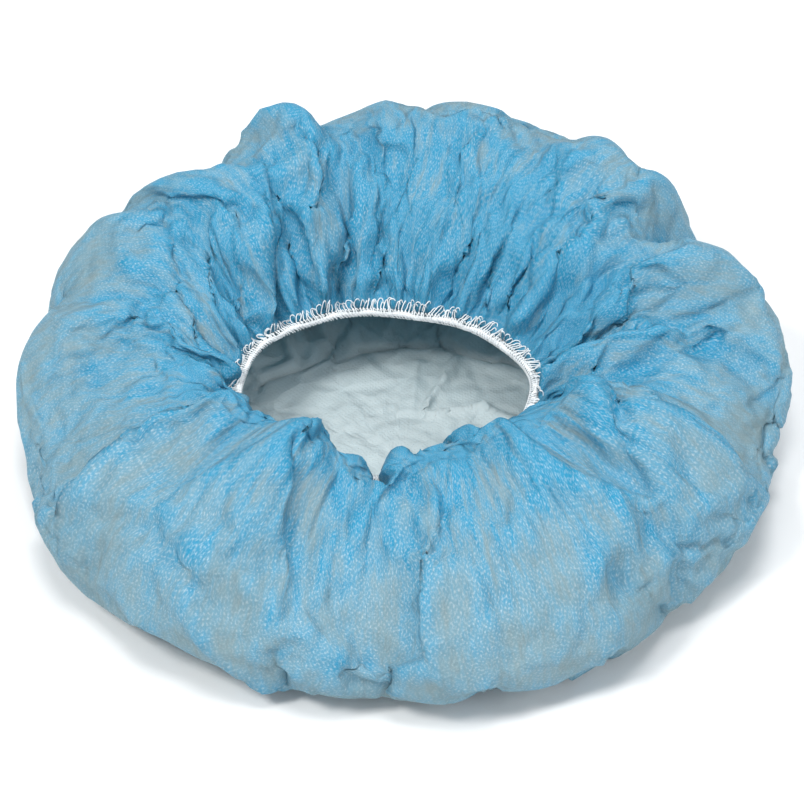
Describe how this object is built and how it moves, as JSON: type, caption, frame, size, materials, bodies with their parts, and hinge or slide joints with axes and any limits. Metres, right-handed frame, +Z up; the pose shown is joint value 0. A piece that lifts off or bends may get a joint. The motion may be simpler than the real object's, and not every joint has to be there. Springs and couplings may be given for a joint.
{
  "type": "disposable bouffant cap",
  "caption": "Gathered round cap of sheer blue non-woven cloth on a white overlocked elastic edge, lying on its crown with its mouth up.",
  "frame": {"origin": "on the floor under the middle of the cap's box, below the crown it lies on", "axes": "+Z up through the mouth, +X to the right across the widest side, -Y towards the front, where the puffs hang over the elastic"},
  "size_m": [0.296, 0.2864, 0.0891],
  "materials": {
    "nonwoven_blue": "sheer spunbond non-woven with a fine bonded dot pattern",
    "elastic_white": "matt knitted elastic with overlock thread"
  },
  "bodies": {
    "root": {"cap_cloth": "nonwoven_blue", "elastic_band": "elastic_white"}
  },
  "joints": []
}
